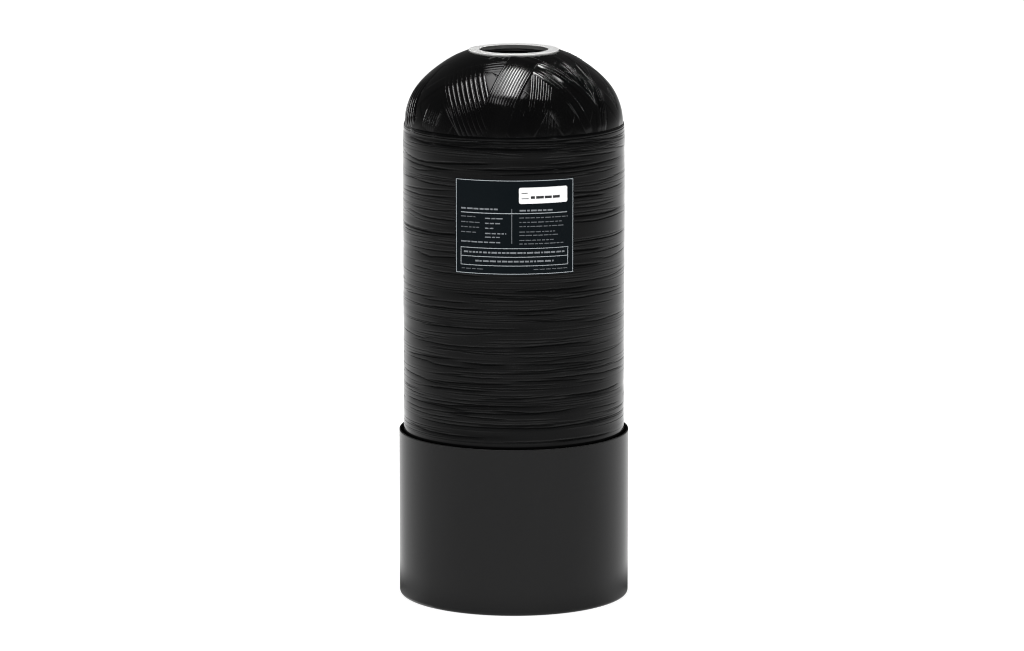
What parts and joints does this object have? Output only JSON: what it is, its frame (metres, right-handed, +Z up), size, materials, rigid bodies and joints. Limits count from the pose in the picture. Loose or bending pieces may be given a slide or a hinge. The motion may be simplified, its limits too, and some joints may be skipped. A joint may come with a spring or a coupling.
{
  "type": "fibreglass filter tank",
  "caption": "Upright filament-wound fibreglass pressure vessel with a domed top, white ringed threaded neck and blank rating label, standing in a moulded cup-shaped boot.",
  "frame": {"origin": "on the floor, under the centre of the tank", "axes": "+Z up along the tank axis to the neck, rating label on the -Y side, +X to the right seen from the label side"},
  "size_m": [0.1882, 0.1882, 0.451],
  "materials": {
    "liner_black": "satin moulded polyethylene",
    "ring_white": "satin moulded plastic",
    "winding_gloss": "glossy black resin over wound glass tows",
    "winding_satin": "satin black resin over circumferential glass tows",
    "boot_black": "satin moulded plastic",
    "label_navy": "satin printed film, dark navy with pale lines",
    "sticker_white": "smooth white paper"
  },
  "bodies": {
    "root": {"liner": "liner_black", "neck_ring": "ring_white", "helical_winding": "winding_gloss", "hoop_winding": "winding_satin", "base_boot": "boot_black", "rating_label": "label_navy", "paper_sticker": "sticker_white"}
  },
  "joints": []
}
